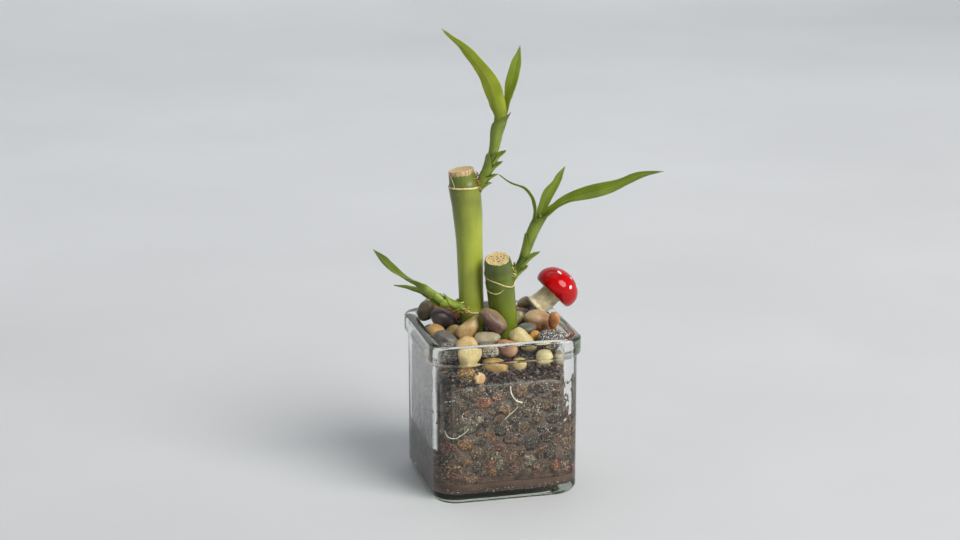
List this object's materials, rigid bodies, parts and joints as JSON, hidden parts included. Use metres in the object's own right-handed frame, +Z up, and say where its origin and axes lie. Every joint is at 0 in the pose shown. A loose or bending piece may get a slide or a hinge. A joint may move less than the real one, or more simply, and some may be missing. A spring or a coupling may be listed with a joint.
{
  "type": "potted lucky bamboo",
  "caption": "Lucky bamboo stalks with leafy shoots, set in river pebbles over granules and silt in a square clear glass jar, with a small red toadstool pick.",
  "frame": {"origin": "middle of the jar's flat base", "axes": "+Z up along the stalks; the jar's sides are square to X and Y, and its front side, the one nearest the camera in the picture, faces -Y"},
  "size_m": [0.1436, 0.08, 0.2412],
  "materials": {
    "clear_glass": "clear pressed glass, polished, faint grey-green",
    "silt": "wet fine brown silt",
    "granules": "rough red-brown lava and bark granules",
    "tall_stalk_skin": "smooth waxy yellow-green stalk skin",
    "short_stalk_skin": "smooth waxy deep green stalk skin",
    "shoot_skin": "smooth light green stem and scale leaves",
    "leaf_blade": "satin green blade with fine long veins",
    "red_lacquer": "glossy red lacquer",
    "cream_foam": "matte cream foam",
    "pick_wire": "bare drawn wire",
    "stone_olive": "dark olive river stone, rubbed smooth",
    "stone_cream": "cream river stone, rubbed smooth",
    "stone_tan": "tan river stone, rubbed smooth",
    "stone_rust": "orange-brown river stone, rubbed smooth",
    "stone_plum": "near-black purple river stone, rubbed smooth",
    "stone_grey": "dark grey river stone, rubbed smooth",
    "stone_speckled": "speckled grey river stone, rubbed smooth",
    "stone_ochre": "yellow-ochre river stone, rubbed smooth",
    "stone_mauve": "mauve-brown river stone, rubbed smooth",
    "stone_beige": "grey-beige river stone, rubbed smooth",
    "stone_pink": "tan-pink river stone, rubbed smooth"
  },
  "bodies": {
    "root": {"jar": "clear_glass", "silt": "silt", "bed": "granules", "tall_stalk": "tall_stalk_skin", "short_stalk": "short_stalk_skin", "top_shoot": "shoot_skin", "side_shoot": "shoot_skin", "base_shoot": "shoot_skin", "top_leaf_big": "leaf_blade", "top_leaf_upright": "leaf_blade", "top_leaf_small": "leaf_blade", "side_leaf_curled": "leaf_blade", "side_leaf_long": "leaf_blade", "side_leaf_upright": "leaf_blade", "base_leaf_main": "leaf_blade", "base_leaf_lower": "leaf_blade", "toadstool_cap": "red_lacquer", "toadstool_stem": "cream_foam", "toadstool_wire": "pick_wire", "pebble_olive": "stone_olive", "pebble_cream_back": "stone_cream", "pebble_orange_tan": "stone_rust", "pebble_plum": "stone_plum", "pebble_tan_left": "stone_tan", "pebble_tan_brown": "stone_tan", "pebble_grey_left": "stone_grey", "pebble_speckled_left": "stone_speckled", "pebble_ochre_drop": "stone_ochre", "pebble_cream_front": "stone_cream", "pebble_mauve_long": "stone_mauve", "pebble_beige_oval": "stone_beige", "pebble_speckled_mid": "stone_speckled", "pebble_pink_front": "stone_pink", "pebble_yellow_long": "stone_ochre", "pebble_grey_streak": "stone_grey", "pebble_tan_pink": "stone_pink", "pebble_orange_small": "stone_rust", "pebble_granite": "stone_speckled", "pebble_orange_upright": "stone_rust", "pebble_mauve_back": "stone_mauve", "pebble_orange_back": "stone_rust", "pebble_olive_back": "stone_olive", "pebble_green_cream": "stone_beige", "pebble_plum_right": "stone_plum", "pebble_grey_back": "stone_grey", "pebble_tan_back": "stone_tan", "pebble_low_speckled": "stone_speckled", "pebble_low_tan": "stone_tan", "pebble_low_cream": "stone_cream", "pebble_low_cream_right": "stone_cream", "pebble_low_beige_corner": "stone_beige", "pebble_low_rust": "stone_rust", "pebble_low_grey": "stone_grey", "pebble_low_mauve": "stone_mauve", "pebble_low_tan_back": "stone_tan", "pebble_low_olive_back": "stone_olive", "pebble_low_pink_back": "stone_pink", "pebble_low_grey_left": "stone_grey", "pebble_low_plum": "stone_plum", "pebble_low_ochre": "stone_ochre"}
  },
  "joints": []
}
